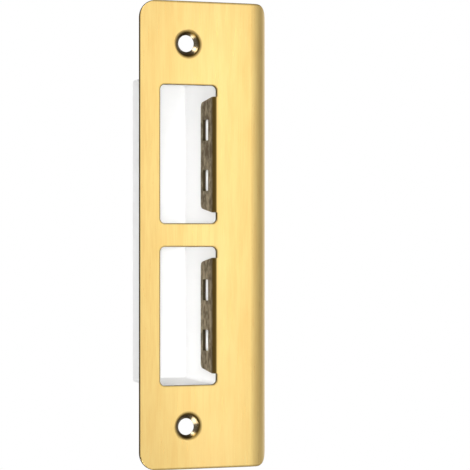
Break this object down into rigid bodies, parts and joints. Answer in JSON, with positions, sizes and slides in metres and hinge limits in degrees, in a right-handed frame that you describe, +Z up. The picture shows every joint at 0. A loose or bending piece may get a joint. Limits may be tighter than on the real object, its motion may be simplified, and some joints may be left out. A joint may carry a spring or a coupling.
{
  "type": "door strike plate",
  "caption": "Lipped door strike plate of folded brass sheet with latch and bolt windows, slotted back tabs, dished screw holes and a moulded dust box behind.",
  "frame": {"origin": "midway between the screw holes, on the back face of the plate", "axes": "+Z up along the plate, -Y out of the door frame towards the person, +X towards the rolled lip"},
  "size_m": [0.0506, 0.0315, 0.17],
  "materials": {
    "brushed_brass": "brushed, lacquered, with darker mottled tabs",
    "white_plastic": "moulded, matt"
  },
  "bodies": {
    "root": {"strike_plate": "brushed_brass", "dust_box": "white_plastic"}
  },
  "joints": []
}
